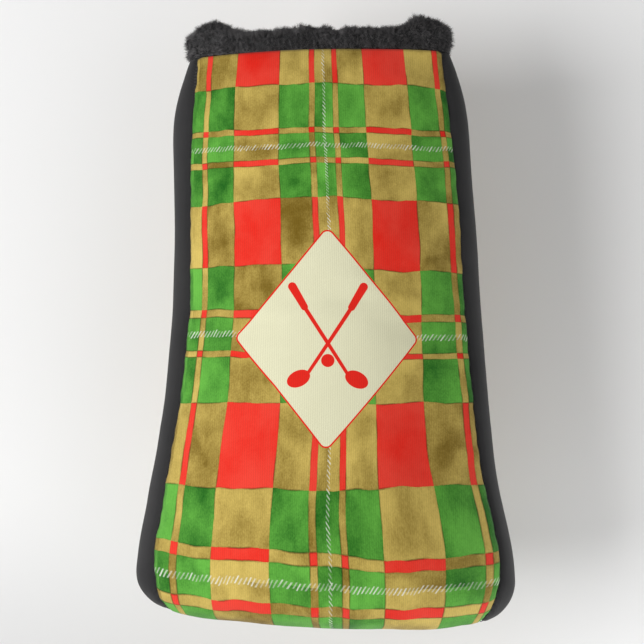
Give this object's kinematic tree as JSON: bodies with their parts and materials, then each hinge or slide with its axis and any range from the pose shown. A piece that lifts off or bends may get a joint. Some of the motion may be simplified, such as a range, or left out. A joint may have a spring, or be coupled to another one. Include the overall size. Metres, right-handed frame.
{
  "type": "driver head cover",
  "caption": "Padded, lined fabric sleeve that slips over a golf driver's head, with printed panels, stretch side gussets and a fur-trimmed mouth.",
  "frame": {"origin": "centre of the mouth, in the plane of the hem where the fur trim starts", "axes": "+Z out of the mouth along the club's shaft, -Y to the front panel, +X to the right seen from the front"},
  "size_m": [0.1686, 0.1066, 0.2654],
  "materials": {
    "printed_fabric": "matte twill with a painted red, green and tan check",
    "gusset_fabric": "matte black stretch knit",
    "foam": "open-cell foam",
    "fleece": "dark short-pile fleece",
    "elastic": "ribbed knitted elastic",
    "fur": "charcoal faux fur",
    "thread": "black sewing thread",
    "label": "blank satin ribbon"
  },
  "bodies": {
    "root": {"front_panel": "printed_fabric", "back_panel": "printed_fabric", "left_gusset": "gusset_fabric", "right_gusset": "gusset_fabric", "front_foam": "foam", "back_foam": "foam", "lining_front": "fleece", "lining_back": "fleece", "lining_left": "fleece", "lining_right": "fleece", "neck_elastic": "elastic", "mouth_cuff": "fur", "seam_thread_left": "thread", "seam_thread_right": "thread", "end_seam_thread": "thread", "cuff_thread": "thread", "lining_thread_left": "thread", "lining_thread_right": "thread", "lining_end_thread": "thread", "care_label": "label"}
  },
  "joints": []
}
